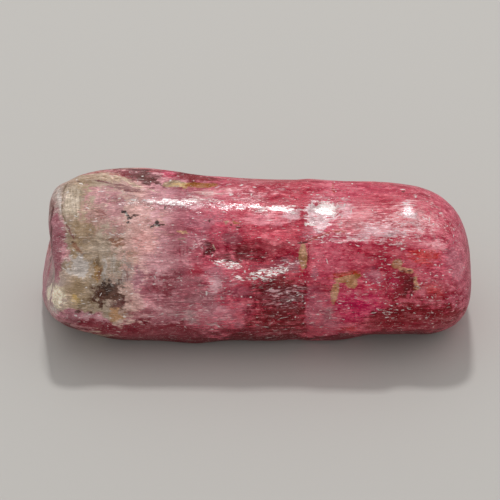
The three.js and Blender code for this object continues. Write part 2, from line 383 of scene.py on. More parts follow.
PALETTE = {
    "salmon": "#D8A39C",
    "light salmon": "#E6B4AE",
    "peach": "#FFBDB8",
    "warm salmon": "#CC9A88",
    "rosy salmon": "#D6969C",
    "mauve rose": "#AC5A66",
    "dusty rose": "#C87684",
    "rose": "#BC5A6C",
    "dark rose": "#9E4050",
    "mauve pink": "#B4707E",
    "mauve": "#A8666E",
    "mauve brown": "#9A6F69",
    "dark mauve": "#A65868",
    "warm pink": "#F0969C",
    "brown mauve": "#844C50",
    "grey mauve": "#B49C93",
    "rosy crimson": "#CE4E64",
    "crimson": "#BC3046",
    "bright red": "#EE6274",
    "pink red": "#F28C9A",
    "dusty pink": "#FAACB4",
    "blush": "#FFDCE0",
    "magenta": "#D42E5C",
    "deep crimson": "#A82036",
    "garnet": "#880A18",
    "orange red": "#CC3236",
    "red brown": "#B4422F",
    "oxblood": "#680812",
    "brown maroon": "#66302E",
    "maroon": "#8A2634",
    "grey green": "#B09A86",
    "silver": "#CDC0B8",
    "cream": "#D2BEA8",
    "pale cream": "#FCECD2",
    "olive": "#AE9274",
    "dark olive": "#8C745C",
    "beige": "#B89C7C",
    "brown beige": "#AC8876",
    "rust": "#9A6A52",
    "ochre": "#A46228",
    "gold": "#D4AE6E",
    "pale gold": "#CE9C72",
    "amber": "#A47C4C",
    "tan": "#C68B67",
    "dull tan": "#B2805A",
    "splinter tan": "#D0B49C",
    "dark brown": "#583022",
    "black brown": "#38231A",
    "black": "#14100E",
    "pale pink": "#E8A4AC",
    "pale rose": "#FCC2CA",
    "veil": "#C49A9C",
    "white": "#FFF4F0",
}

# The colour along the crystal, at places in millimetres from its middle.
ZONES = [
    (-10.0, "mauve pink"),
    (-9.0, "grey mauve"),
    (-8.0, "olive"),
    (-6.8, "grey green"),
    (-5.3, "salmon"),
    (-4.6, "rosy salmon"),
    (-3.4, "mauve rose"),
    (-1.6, "rosy crimson"),
    (0.0, "crimson"),
    (2.2, "crimson"),
    (3.4, "rosy crimson"),
    (6.0, "crimson"),
    (8.4, "rosy crimson"),
    (10.0, "rose"),
]
HALF_LENGTH = 10
along_crystal = add(tree, "VectorMath", [soft_place, LENGTHWISE], operation="DOT_PRODUCT").outputs["Value"]
zone_share = add(tree, "MapRange", [along_crystal, -HALF_LENGTH, HALF_LENGTH], clamp=False).outputs[0]
zone_ramp = add(tree, "ValToRGB", {"Fac": zone_share})
stops = zone_ramp.color_ramp.elements
while len(stops) < len(ZONES):
    stops.new(0.5)
for stop, (x, name) in zip(stops, ZONES):
    stop.position = (x + HALF_LENGTH) / (2 * HALF_LENGTH)
    stop.color = linear(PALETTE[name])
skin_colour = zone_ramp.outputs["Color"]

# How a mark ends: in a cloud, in rags, in a crisp edge, solid nearly to its rim or like a hair. The fade
# starts between 0, its middle, and 1, its rim, and wisps make the rim wander. The depth is in millimetres.
EDGES = {
    "cloud": {"place": soft_place, "fade": 0.3, "wander": 1.6, "depth": 2.2},
    "rags": {"place": fine_place, "fade": 0.6, "wander": 1.3, "depth": 1.6},
    "crisp": {"place": hair_place, "fade": 0.82, "wander": 0.5, "depth": 1.2},
    "solid": {"place": soft_place, "fade": 0.72, "wander": 0.7, "depth": 3.0},
    "hair": {"place": hair_place, "fade": 0.55, "wander": 0.4, "depth": 0.5},
}

# Patches of colour, the large ones first: what it is, its colour, its edge, then along, up, half length, half
# width, lean in degrees and how strong it is.
PATCHES = [
    ("mauve end face", "dark mauve", "solid", -9.3, 0.3, 0.62, 2.1, 0, 0.85),
    ("brown top of the end face", "mauve brown", "cloud", -9.4, 2.3, 0.35, 0.9, 0, 0.9),
    ("magenta low on the end face", "rose", "cloud", -9.5, -0.75, 0.5, 0.6, 15, 0.9),
    ("pale rim of the end face", "silver", "cloud", -9.02, 2.4, 0.18, 0.95, 3, 0.85),
    ("beige field at the top left", "brown beige", "cloud", -7.6, 1.7, 1.3, 1.3, 0, 0.75),
    ("pink grey on the top left", "rosy salmon", "cloud", -7.0, 2.8, 1.2, 0.5, -4, 0.75),
    ("rosy brown on the top", "mauve", "cloud", -6.5, 2.1, 0.6, 0.9, 0, 0.7),
    ("rust in the brown", "rust", "cloud", -7.05, 1.9, 0.32, 0.36, 0, 0.75),
    ("warm spot in the brown", "light salmon", "cloud", -6.4, 1.3, 0.4, 0.4, 0, 0.6),
    ("rosy veil on the left", "rosy salmon", "cloud", -7.1, 2.0, 1.5, 1.4, 0, 0.45),
    ("cream ribbed corner", "cream", "rags", -8.42, 2.5, 0.5, 1.15, 4, 0.95),
    ("olive under the cream", "olive", "cloud", -7.9, 1.15, 0.85, 0.45, 0, 0.9),
    ("grey olive field", "grey green", "cloud", -7.0, 0.3, 1.2, 0.65, 0, 0.9),
    ("grey field", "grey green", "cloud", -6.3, -0.55, 0.8, 1.0, 0, 0.95),
    ("mauve streak in the grey", "brown mauve", "rags", -6.0, -0.95, 0.2, 0.4, 0, 0.6),
    ("olive streak in the grey", "dark olive", "rags", -6.5, 0.0, 0.14, 0.5, 0, 0.5),
    ("pink wisp by the silver", "pale pink", "rags", -8.75, 0.1, 0.22, 0.5, 10, 0.7),
    ("silvery patch", "silver", "rags", -8.1, -0.6, 0.62, 0.66, 10, 0.95),
    ("beige by the lobe", "beige", "cloud", -8.6, -1.95, 1.2, 0.72, 0, 0.95),
    ("cream lobe", "pale cream", "rags", -9.2, -1.95, 0.8, 0.74, 0, 0.8),
    ("white of the lobe", "pale cream", "solid", -9.5, -1.8, 0.3, 0.6, 0, 0.9),
    ("grey rim of the lobe", "silver", "rags", -9.3, -2.5, 0.4, 0.2, -35, 0.7),
    ("brown over the gold", "olive", "rags", -8.5, -1.7, 0.6, 0.3, -20, 0.6),
    ("gold by the lobe", "gold", "cloud", -8.3, -2.05, 0.36, 0.3, -10, 0.9),
    ("olive brown by the gold", "dark olive", "cloud", -7.8, -2.3, 0.5, 0.32, 8, 0.75),
    ("pink band low on the left", "mauve pink", "solid", -7.9, -3.0, 1.7, 0.36, -12, 0.9),
    ("mauve under the pink band", "mauve", "solid", -8.2, -3.3, 1.3, 0.3, -16, 0.9),
    ("rose over the foot", "mauve rose", "cloud", -4.9, -2.95, 2.0, 0.4, 0, 0.85),
    ("pale lobe low on the left", "pale pink", "cloud", -7.22, -2.95, 0.34, 0.42, -10, 0.55),
    ("grey over the notch", "veil", "rags", -7.85, -2.82, 0.3, 0.12, 0, 0.7),
    ("dark patch", "dark brown", "rags", -6.7, -1.75, 0.75, 0.7, 12, 0.9),
    ("foot of the dark patch", "dark brown", "cloud", -6.5, -2.3, 0.55, 0.45, 0, 0.8),
    ("dark olive left of the dark patch", "dark brown", "cloud", -7.4, -1.72, 0.36, 0.36, 0, 0.8),
    ("mauve in the dark patch", "brown mauve", "cloud", -6.3, -2.2, 0.4, 0.25, 0, 0.4),
    ("black of the dark patch", "black brown", "cloud", -6.75, -1.45, 0.5, 0.3, -8, 0.85),
    ("tail of the dark patch", "dark brown", "rags", -7.1, -2.2, 0.2, 0.5, 0, 0.9),
    ("amber streak", "amber", "rags", -7.28, -0.85, 0.22, 0.62, 4, 0.95),
    ("brown right of the amber streak", "rust", "rags", -7.15, -1.05, 0.1, 0.36, 4, 0.7),
    ("dark head of the amber streak", "dark olive", "rags", -7.22, -0.25, 0.14, 0.26, 0, 0.95),
    ("pale wisp beside the amber", "silver", "rags", -6.93, -0.65, 0.09, 0.5, -4, 0.8),
    # Partly the stone's own deep red and partly painted shade along the underside.
    ("deep red foot on the left", "maroon", "solid", -6.7, -3.4, 1.6, 0.32, -6, 0.9),
    ("ochre spot", "pale gold", "cloud", -6.6, -2.72, 0.45, 0.36, -8, 0.9),
    ("rust under the dashes", "rust", "rags", -6.35, 0.68, 0.36, 0.12, -4, 0.9),
    ("second rust under the dashes", "rust", "rags", -6.25, 0.43, 0.36, 0.08, -8, 0.95),
    ("rust line in the olive", "rust", "rags", -8.2, 0.3, 0.34, 0.12, -40, 0.9),
    ("salmon field", "salmon", "cloud", -5.2, 1.3, 1.2, 1.1, 0, 0.95),
    ("peach of the salmon", "peach", "cloud", -5.0, 0.5, 0.75, 0.55, 0, 0.9),
    ("warm edge of the salmon", "warm salmon", "cloud", -5.6, -0.15, 0.32, 0.5, 0, 0.85),
    ("grey pink field", "rosy salmon", "cloud", -4.5, -0.4, 0.8, 0.6, 0, 0.8),
    ("mauve rose field", "mauve rose", "cloud", -4.5, -1.75, 1.3, 1.0, 0, 0.9),
    ("dark rose", "maroon", "cloud", -4.05, -1.4, 0.6, 0.62, 0, 0.7),
    ("pink by the dark patch", "mauve pink", "cloud", -5.5, -1.4, 0.42, 0.8, 0, 0.8),
    ("rose beyond the line", "dark rose", "cloud", -3.3, 0.1, 0.38, 0.7, 0, 0.9),
    ("crimson left of the pit", "crimson", "cloud", -2.75, -0.75, 0.45, 0.5, 0, 0.8),
    ("crimson over the pit", "dusty rose", "cloud", -2.6, 0.9, 0.7, 0.4, 0, 0.8),
    ("mauve under the crimson", "mauve", "cloud", -2.4, -2.0, 1.5, 0.8, 0, 0.85),
    ("mauve low in the middle", "dusty rose", "cloud", -1.7, -2.7, 1.3, 0.6, 0, 0.8),
    ("pale pink lobe", "dusty pink", "cloud", -4.85, -2.45, 0.5, 0.34, 0, 0.75),
    ("red beyond the salmon", "dusty rose", "cloud", -2.6, 1.6, 1.2, 0.5, 0, 0.85),
    ("mauve pink over the ridge", "mauve pink", "cloud", -3.9, 2.8, 0.8, 0.22, -4, 0.9),
    ("pink over the ridge", "light salmon", "cloud", -2.2, 2.8, 0.9, 0.28, -4, 0.95),
    ("pale rose over the ridge", "light salmon", "cloud", -1.2, 2.95, 0.5, 0.3, -4, 0.8),
    ("crimson top band", "crimson", "cloud", 0.6, 2.98, 2.4, 0.42, -2, 0.85),
    ("deep red in the top band", "crimson", "cloud", 1.6, 3.0, 0.9, 0.3, -2, 0.9),
    ("second deep red in the top band", "crimson", "rags", 0.2, 2.85, 0.6, 0.16, -2, 0.6),
    ("bright band", "pink red", "cloud", 0.6, 1.65, 1.4, 0.46, 0, 0.95),
    ("grey rose by the chip", "pale rose", "cloud", 1.8, 1.85, 0.42, 0.42, 0, 0.85),
    ("deep scoop", "deep crimson", "cloud", 0.0, 0.4, 1.8, 0.55, -2, 0.85),
    ("dark rose over the ledge", "dark rose", "cloud", 0.9, -0.45, 1.5, 0.3, 0, 0.8),
    ("dark rose over the first ledge", "maroon", "cloud", -1.6, -0.1, 0.6, 0.3, -10, 0.8),
    ("garnet in the scoop", "oxblood", "cloud", -0.5, 0.1, 1.1, 0.4, -8, 0.75),
    ("block of the scoop", "dark rose", "crisp", -1.05, 0.75, 0.5, 0.36, 0, 0.8),
    ("bright red block", "bright red", "rags", 0.7, 0.88, 1.2, 0.26, 1, 0.9),
    ("red tooth of the block", "bright red", "crisp", 0.95, 0.58, 0.3, 0.16, 0, 0.6),
    ("garnet pit", "oxblood", "rags", -2.1, 0.2, 0.3, 0.34, 20, 0.9),
    ("mauve under the pit", "dusty rose", "cloud", -1.7, -0.8, 0.7, 0.42, -10, 0.85),
    ("pale blob by the pit", "pale rose", "cloud", -1.95, -1.3, 0.45, 0.5, 20, 0.85),
    ("dusty rose under the ledges", "dusty rose", "cloud", -0.9, -1.25, 0.7, 0.3, 0, 0.8),
    ("maroon under the ledge", "maroon", "rags", 1.0, -1.9, 1.7, 0.75, 0, 0.9),
    ("dark under the ledges", "oxblood", "rags", 1.1, -1.5, 1.3, 0.5, 0, 0.85),
    ("red by the maroon", "rose", "cloud", -0.7, -1.75, 0.6, 0.4, 0, 0.8),
    ("rose low in the middle", "rose", "cloud", -0.4, -2.6, 0.8, 0.5, 0, 0.7),
    ("garnet under the ledge", "garnet", "cloud", 1.4, -1.25, 0.6, 0.28, 0, 0.95),
    ("grey rose by the filling", "mauve", "cloud", 1.75, -0.6, 0.4, 0.3, 0, 0.85),
    # The pale pink of the shoulder and the ridge is partly their own pink and partly painted sheen off the
    # frosted skin.
    ("dusty shoulder", "warm pink", "cloud", 7.3, 1.7, 1.9, 1.15, 0, 0.85),
    ("dusty ridge", "warm pink", "cloud", 4.8, 1.7, 1.7, 1.05, 0, 0.85),
    ("dusty foot of the ridge", "dusty pink", "cloud", 6.4, 1.1, 1.8, 0.4, 0, 0.8),
    ("crimson spot on the ridge", "crimson", "cloud", 5.8, 1.75, 0.45, 0.32, 0, 0.75),
    ("crimson top on the right", "rosy crimson", "cloud", 5.2, 2.95, 2.0, 0.42, 0, 0.85),
    ("crimson on the right shoulder", "crimson", "cloud", 8.75, 1.25, 0.5, 0.42, -40, 0.9),
    ("rosy right flank", "dusty pink", "cloud", 8.3, 0.5, 0.8, 0.4, 0, 0.75),
    ("deep band on the right", "crimson", "cloud", 5.3, 0.1, 1.8, 0.36, 0, 0.9),
    ("garnet in the band", "garnet", "cloud", 5.6, -0.05, 0.9, 0.2, 0, 0.2),
    ("red over the crack", "dusty rose", "cloud", 2.7, 1.05, 0.6, 0.25, 6, 0.85),
    ("rosy corner by the crack", "rosy crimson", "cloud", 3.1, -0.1, 0.6, 0.55, 0, 0.85),
    ("purple under the corner", "dusty rose", "cloud", 2.9, -0.85, 0.36, 0.32, 0, 0.85),
    ("crimson by the tooth", "deep crimson", "cloud", 3.1, -1.65, 0.55, 0.5, 0, 0.95),
    ("orange patch", "orange red", "rags", 7.8, -0.1, 0.85, 0.46, -8, 1.0),
    ("orange rim of the tooth", "red brown", "rags", 4.25, -0.93, 0.7, 0.16, 12, 0.9),
    # Partly the stone's own magenta and partly painted glow, light shining through the stone from inside.
    ("magenta glow", "magenta", "cloud", 4.9, -2.35, 1.5, 0.95, 0, 1.0),
    ("pink foot by the break", "rose", "cloud", 3.3, -3.1, 0.9, 0.4, 0, 0.9),
    ("orange at the foot", "orange red", "cloud", 4.4, -3.45, 0.6, 0.2, 0, 0.7),
    ("mauve window", "rose", "rags", 5.5, -0.98, 0.5, 0.4, 0, 0.9),
    ("pink under the window", "bright red", "cloud", 5.3, -1.5, 0.4, 0.25, 0, 0.7),
    ("rosy right end", "dusty rose", "cloud", 9.3, -0.3, 0.5, 1.1, 0, 0.7),
    ("red end", "deep crimson", "cloud", 8.5, -1.8, 1.0, 0.85, 0, 0.9),
    ("orange in the red end", "orange red", "cloud", 8.3, -1.75, 0.5, 0.3, 0, 0.6),
    ("deep red on the lower right", "oxblood", "cloud", 6.6, -2.9, 1.8, 0.5, 0, 0.7),
    ("orange low on the right", "deep crimson", "cloud", 8.9, -2.8, 1.0, 0.7, 0, 0.95),
    ("dark red low on the right", "garnet", "cloud", 8.2, -2.6, 1.6, 0.7, 0, 0.65),
    ("tan filling of the crack", "dull tan", "crisp", 2.24, -0.12, 0.2, 0.66, 0, 0.95),
    ("light in the filling", "tan", "rags", 2.22, 0.05, 0.1, 0.26, 0, 0.8),
    ("dark spot in the filling", "dark brown", "rags", 2.34, -0.62, 0.1, 0.14, 0, 0.6),
    ("bar of the tooth", "tan", "crisp", 4.3, -1.12, 0.7, 0.15, 12, 0.95),
    ("left leg of the tooth", "tan", "crisp", 3.7, -1.75, 0.19, 0.6, -10, 1.0),
    ("right lobe of the tooth", "tan", "crisp", 4.48, -1.3, 0.32, 0.3, 0, 1.0),
    ("olive tip of the tooth", "ochre", "rags", 4.82, -0.92, 0.14, 0.16, 0, 0.8),
    ("olive blob by the hollow", "dull tan", "crisp", 6.58, -0.42, 0.26, 0.24, 0, 0.8),
    ("tan over the hollow", "tan", "crisp", 7.0, -0.74, 0.36, 0.14, -12, 0.9),
    ("tan strip by the hollow", "pale gold", "rags", 7.42, -1.3, 0.15, 0.45, 4, 0.85),
    ("dark of the scoop", "brown mauve", "rags", -5.2, 3.6, 1.25, 0.42, -16, 0.9),
    ("brown of the scoop", "dark brown", "cloud", -5.1, 3.62, 0.9, 0.34, -14, 0.7),
    ("foot of the scoop", "brown maroon", "rags", -4.6, 3.36, 0.5, 0.2, -16, 0.9),
    ("maroon left of the scoop", "maroon", "rags", -6.1, 3.8, 0.5, 0.2, -14, 0.7),
    ("magenta on the skyline", "magenta", "rags", -3.85, 3.72, 0.55, 0.2, -8, 0.75),
    ("crimson on the skyline", "garnet", "rags", -2.7, 3.56, 1.3, 0.24, -7, 0.95),
    ("olive in the groove", "olive", "crisp", -3.75, 3.26, 0.6, 0.19, -4, 0.95),
    ("yellow in the groove", "gold", "rags", -3.4, 3.2, 0.5, 0.12, -4, 0.8),
    ("ochre in the groove", "ochre", "crisp", -2.45, 3.2, 0.8, 0.14, -4, 0.95),
    # Painted shadow: the dark mauve band under the splinter's lower edge.
    ("mauve under the splinter", "brown mauve", "rags", -6.0, 3.06, 1.0, 0.1, -10, 0.7),
    ("splinter", "splinter tan", "rags", -7.0, 3.56, 1.2, 0.2, 4, 0.95),
    ("shaft of the splinter", "splinter tan", "rags", -5.9, 3.34, 0.9, 0.1, -18, 0.95),
    ("tail of the splinter", "splinter tan", "rags", -4.6, 2.98, 0.75, 0.05, -12, 0.85),
    ("ochre by the line", "pale gold", "rags", -3.35, 1.02, 0.3, 0.1, -6, 0.8),
    ("ochre on the bright band", "ochre", "rags", -0.85, 1.47, 0.24, 0.1, -25, 0.85),
    ("olive by the ochre", "olive", "rags", -1.3, 1.5, 0.12, 0.1, 0, 0.7),
    ("grey veil low in the mauve", "veil", "cloud", -2.9, -2.9, 0.6, 0.34, -20, 0.75),
    ("yellow veil", "veil", "rags", -1.95, -3.28, 0.5, 0.13, -22, 0.8),
    ("second grey veil", "veil", "cloud", -3.9, -2.75, 0.5, 0.14, 0, 0.55),
    ("pale blotch at the foot", "dusty rose", "cloud", -0.7, -3.2, 0.45, 0.3, -10, 0.8),
    ("grey flake by the break", "veil", "rags", 1.65, -2.1, 0.6, 0.2, 8, 0.8),
    ("grey flake under the ledge", "pale rose", "rags", 0.8, -1.65, 0.28, 0.14, 0, 0.7),
    ("pink veil by the tooth", "veil", "cloud", 3.3, -2.75, 0.45, 0.32, 0, 0.9),
    ("scuffed band", "pale rose", "cloud", 5.9, 0.95, 1.6, 0.26, 2, 0.85),
    ("scuffed band's left part", "pale rose", "rags", 4.4, 0.65, 0.9, 0.1, -4, 0.6),
    # From here to the list's end the foot is darker: partly its own deep red, partly painted shade of the
    # underside.
    ("dark band at the foot", "oxblood", "solid", -4.2, -4.05, 4.3, 0.6, -1, 0.95),
    ("red over the dark band", "maroon", "solid", -4.7, -3.55, 3.3, 0.44, 0, 0.95),
    ("second red over the dark band", "maroon", "solid", 0.2, -3.6, 2.4, 0.4, 0, 0.9),
    ("second dark band at the foot", "oxblood", "solid", 0.4, -4.05, 2.6, 0.52, 0, 0.95),
    ("dark rim low on the left", "oxblood", "solid", -8.7, -3.55, 1.4, 0.22, -14, 0.95),
    ("red low on the right", "garnet", "solid", 7.6, -3.1, 2.8, 0.9, 0, 0.7),
    ("dark foot on the right", "oxblood", "solid", 7.2, -3.85, 3.4, 0.42, 0, 0.95),
    ("dark foot by the break", "oxblood", "solid", 3.4, -3.9, 1.4, 0.26, 0, 0.9),
]

# The chip on the ridge: its frosted ground face is partly white of itself and partly painted highlight where
# it meets the light. Then painted highlights on the knob and along the ridge's line of light.
CHIP_AND_PAINTED_HIGHLIGHTS = [
    ("left of the chip", "blush", "rags", 2.6, 1.95, 0.32, 0.6, -12, 0.95),
    ("middle of the chip", "blush", "rags", 3.15, 1.78, 0.8, 0.5, 0, 0.95),
    ("face of the chip", "white", "rags", 3.3, 2.1, 0.7, 0.34, 0, 0.9),
    ("left foot of the chip", "white", "rags", 2.55, 1.42, 0.32, 0.14, -10, 0.9),
    ("tail of the chip", "blush", "rags", 3.1, 1.32, 0.4, 0.24, 25, 0.85),
    ("scuffs over the chip", "pale pink", "rags", 3.1, 2.62, 0.6, 0.12, 0, 0.6),
    ("scuffs right of the chip", "pale rose", "cloud", 4.3, 2.0, 0.4, 0.6, 0, 0.7),
    ("scuffs on the knob", "blush", "cloud", 7.12, 2.02, 0.36, 0.5, 0, 0.9),
    ("line of light on the ridge", "blush", "rags", -0.75, 2.22, 1.3, 0.08, -5, 0.6),
    ("end of the line of light", "pale rose", "rags", 0.95, 2.06, 0.8, 0.12, -5, 0.6),
    ("scuffs along the ridge", "pale rose", "cloud", -2.8, 2.3, 0.9, 0.2, -5, 0.6),
    ("start of the line of light", "blush", "rags", -4.5, 2.48, 1.0, 0.1, -5, 0.7),
]

skin = BVHTree.FromObject(crystal, bpy.context.evaluated_depsgraph_get())


def skin_under(along, up):
    """Where the eye meets the skin, in millimetres, through a place on the card."""
    spot = CARD_ORIGIN + Vector((along, 0, 0)) + CARD_UP * up
    met = skin.ray_cast(EYE * MM, spot - EYE)[0]
    if met is None:
        met = skin.find_nearest(spot * MM)[0]
    return met / MM


# Wisps of the grain and the mottle move every rim in and out.
GRAIN_IN_WISPS = 0.7
WISP_RANGE = (0.35, 1.35)
wisps = add(tree, "Math", [grain, GRAIN_IN_WISPS, mottle], operation="MULTIPLY_ADD").outputs[0]
ragged = add(tree, "MapRange", [wisps, *WISP_RANGE, -1, 1]).outputs[0]

# Leans are rounded to a step in degrees, so that marks share their turned places. A mark's half depth is at
# least half its half length. Out on the end faces the skin runs away from the eye, and a mark is shallower.
LEAN_STEP = 10
LEAST_DEPTH = 0.5
END_FACE = 9.1
SHALLOWER = 3
turned_places = {}


def stepped(lean):
    """A lean in degrees, on the step that turned places are made for."""
    return LEAN_STEP * round(lean / LEAN_STEP)


def axes(lean):
    """The axes of a mark that leans so: along it, into the stone and up it."""
    return Euler((EYE_RISE, math.radians(lean), 0)).to_matrix()


def turned(spot, lean):
    """A place seen along the axes of a mark. Each is made once."""
    if (spot, lean) not in turned_places:
        parts = []
        for axis in axes(lean):
            part = add(tree, "VectorMath", [spot, list(axis)], operation="DOT_PRODUCT")
            parts.append(part.outputs["Value"])
        turned_places[spot, lean] = add(tree, "CombineXYZ", parts).outputs[0]
    return turned_places[spot, lean]


def way_out(tree, turned_place, depth, along, up, half_along, half_up, lean):
    """How far out of an oval mark a place lies: 0 in its middle and 1 on its rim."""
    middle = axes(stepped(lean)) @ skin_under(along, up)
    if abs(along) > END_FACE:
        depth /= SHALLOWER
    half_sizes = (half_along, max(depth, LEAST_DEPTH * half_along), half_up)
    scale = [1 / half for half in half_sizes]
    shift = [-centre / half for centre, half in zip(middle, half_sizes)]
    local = add(tree, "VectorMath", [turned_place, scale, shift], operation="MULTIPLY_ADD").outputs[0]
    return add(tree, "VectorMath", [local], operation="LENGTH").outputs["Value"]


def cover(edge, out, strength):
    """How far a mark covers a place, from 0 to its strength."""
    out = add(tree, "Math", [ragged, edge["wander"], out], operation="MULTIPLY_ADD").outputs[0]
    return add(tree, "MapRange", [out, edge["fade"], 1, strength, 0], **SMOOTH_STEP).outputs[0]


def patch(edge_name, mark, strength):
    """How far one oval mark covers a place."""
    edge = EDGES[edge_name]
    spot = turned(edge["place"], stepped(mark[-1]))
    return cover(edge, way_out(tree, spot, edge["depth"], *mark), strength)


def cluster(what, edge_name, marks, strength):
    """How far any of some oval marks covers a place. The marks stand in a node group of their own."""
    edge = EDGES[edge_name]
    leans = sorted({stepped(mark[-1]) for mark in marks})
    group = bpy.data.node_groups.new(what, "ShaderNodeTree")
    for lean in leans:
        socket_name = f"Place turned {lean} degrees"
        group.interface.new_socket(socket_name, in_out="INPUT", socket_type="NodeSocketVector")
    group.interface.new_socket("Way out", in_out="OUTPUT", socket_type="NodeSocketFloat")
    inside = dict(zip(leans, group.nodes.new("NodeGroupInput").outputs))
    nearest = way_out(group, inside[stepped(marks[0][-1])], edge["depth"], *marks[0])
    for mark in marks[1:]:
        out = way_out(group, inside[stepped(mark[-1])], edge["depth"], *mark)
        nearest = add(group, "Math", [nearest, out], operation="MINIMUM").outputs[0]
    group.links.new(nearest, group.nodes.new("NodeGroupOutput").inputs[0])
    spots = [turned(edge["place"], lean) for lean in leans]
    return cover(edge, add(tree, "Group", spots, node_tree=group).outputs[0], strength)


# The sockets of a colour mix have numbers: how far, the colour below, the one laid over it, and the outcome.
HOW_FAR = 0
BELOW = 6
ABOVE = 7
MIXED = 2


def lay(under, what, name, share, *limits):
    """Lays a colour of the palette over another, as far as its share says, times the limits to it."""
    for limit in limits:
        share = add(tree, "Math", [share, limit], operation="MULTIPLY").outputs[0]
    inputs = {HOW_FAR: share, BELOW: under, ABOVE: linear(PALETTE[name])}
    return add(tree, "Mix", inputs, data_type="RGBA", label=what).outputs[MIXED]


# The back has the same clouds of colour, placed by noise: its grain along and across, where it starts and how
# strong it is.
HIDDEN_CLOUDS = [
    ("dark clouds behind", "deep crimson", 3.2, 1.2, 83, 0.75),
    ("mauve clouds behind", "mauve rose", 2.4, 1.5, 90, 0.7),
    ("pale clouds behind", "pale pink", 1.8, 0.5, 97, 0.6),
    ("brown veins behind", "rust", 2.6, 0.3, 104, 0.4),
]
BACKWARD = (0, 1, 0)
BACK_START = 0.5
BACK_FULL = 2.0
CLOUD_RIM = (0.52, 0.62)
skin_backward = add(tree, "VectorMath", [millimetres, BACKWARD], operation="DOT_PRODUCT").outputs["Value"]
behind = add(tree, "MapRange", [skin_backward, BACK_START, BACK_FULL]).outputs[0]
for what, name, along, across, offset, strength in HIDDEN_CLOUDS:
    clouds = pattern(millimetres, along, across, detail=5, offset=offset, waves=0.4)
    share = add(tree, "MapRange", [clouds, *CLOUD_RIM]).outputs[0]
    skin_colour = lay(skin_colour, what, name, share, behind, strength)

for what, name, edge_name, *mark, strength in PATCHES:
    skin_colour = lay(skin_colour, what, name, patch(edge_name, mark, strength))

# Left of the old break the foot of the stone is dark, with a straight edge along the break.
BREAK_PLACE = 2.33
BREAK_BLUR = 0.05
along_fine = add(tree, "VectorMath", [fine_place, LENGTHWISE], operation="DOT_PRODUCT").outputs["Value"]
break_edge = [along_fine, BREAK_PLACE - BREAK_BLUR, BREAK_PLACE + BREAK_BLUR, 1, 0]
left_of_break = add(tree, "MapRange", break_edge, **SMOOTH_STEP).outputs[0]
BY_THE_BREAK = [
    ("garnet left of the break", "garnet", "cloud", 1.2, -3.1, 1.9, 1.1, 0, 0.85),
    ("maroon left of the break", "oxblood", "cloud", 1.3, -2.5, 1.6, 1.2, 0, 0.75),
]
for what, name, edge_name, *mark, strength in BY_THE_BREAK:
    skin_colour = lay(skin_colour, what, name, patch(edge_name, mark, strength), left_of_break)
right_of_break = add(tree, "Math", [1, left_of_break], operation="SUBTRACT").outputs[0]
rose_patch = patch("cloud", (2.7, -2.5, 1.0, 1.3, 0), 0.85)
skin_colour = lay(skin_colour, "rose right of the break", "rose", rose_patch, right_of_break)

# Marks with a grain of their own, which stands after the colour: ribs across the crystal at its left end,
# fibres in the splinter, specks on the chip, scratches, and strokes of painted highlight on the ridge and
# ledges.
ribs = add(tree, "MapRange", [cross_ribs, 0.46, 0.56]).outputs[0]
fibres = add(tree, "MapRange", [hairs, 0.5, 0.6]).outputs[0]
specks = add(tree, "MapRange", [grit, 0.47, 0.56]).outputs[0]
dashes = pattern(millimetres, 0.26, 0.06, detail=3, roughness=0.6, offset=61, waves=0.5)
strokes = add(tree, "MapRange", [dashes, 0.48, 0.56]).outputs[0]
GRAINED = [
    ("furrows of the cream corner", "dark olive", ribs, "rags", -8.42, 2.4, 0.5, 1.1, 4, 0.6),
    ("furrows of the brown", "dark olive", ribs, "cloud", -7.6, 1.5, 0.8, 1.2, 0, 0.3),
    ("wisps in the grey field", "silver", ribs, "cloud", -6.3, -0.5, 0.9, 1.0, 0, 0.6),
    ("fibres of the splinter", "rust", fibres, "rags", -6.8, 3.5, 1.3, 0.3, 0, 0.75),
    ("fibres of the tail", "brown mauve", fibres, "rags", -5.2, 3.1, 1.0, 0.2, -14, 0.7),
    ("cross lines in the rose", "rosy salmon", ribs, "cloud", -3.2, 0.0, 0.5, 0.8, 0, 0.35),
    ("red specks of the chip", "rosy crimson", specks, "cloud", 3.1, 1.75, 0.8, 0.6, 0, 0.4),
    # The next seven rows are painted highlights: pale strokes where the lamp's light is thrown back.
    ("broken light along the ridge", "white", strokes, "rags", -3.7, 2.44, 2.1, 0.16, -5, 0.95),
    ("broken light before the chip", "white", strokes, "rags", 1.0, 2.08, 1.3, 0.18, -5, 0.9),
    ("first flash of the ledges", "white", strokes, "crisp", -1.2, -0.45, 0.75, 0.2, -12, 1.0),
    ("second flash of the ledges", "white", strokes, "crisp", 0.65, -0.82, 1.0, 0.22, 6, 1.0),
    ("light over the second ledge", "blush", strokes, "rags", 1.4, -0.42, 0.8, 0.16, 0, 0.55),
    ("third flash of the ledges", "white", strokes, "rags", -0.3, -1.12, 1.1, 0.12, 2, 0.8),
    ("light by the pit", "pale rose", strokes, "rags", -2.5, 0.55, 0.5, 0.36, 0, 0.5),
    ("flakes by the break", "pale rose", strokes, "cloud", 1.5, -1.95, 1.0, 0.6, 10, 0.4),
    ("scratches on the shoulder", "blush", strokes, "cloud", 6.6, 1.4, 2.6, 0.9, 0, 0.55),
    ("scratches by the crack", "blush", strokes, "cloud", 3.4, 0.85, 1.2, 0.3, 8, 0.85),
    ("scratches on the top", "pale rose", strokes, "cloud", -0.6, 2.85, 2.4, 0.4, -3, 0.7),
    ("scratches in the mauve", "veil", strokes, "cloud", -2.6, -2.7, 1.8, 0.7, -8, 0.5),
]
# Lays the chip and the painted highlights of the ridge and the knob.
for what, name, edge_name, *mark, strength in CHIP_AND_PAINTED_HIGHLIGHTS:
    skin_colour = lay(skin_colour, what, name, patch(edge_name, mark, strength))
for what, name, own_grain, edge_name, *mark, strength in GRAINED:
    skin_colour = lay(skin_colour, what, name, patch(edge_name, mark, strength), own_grain)

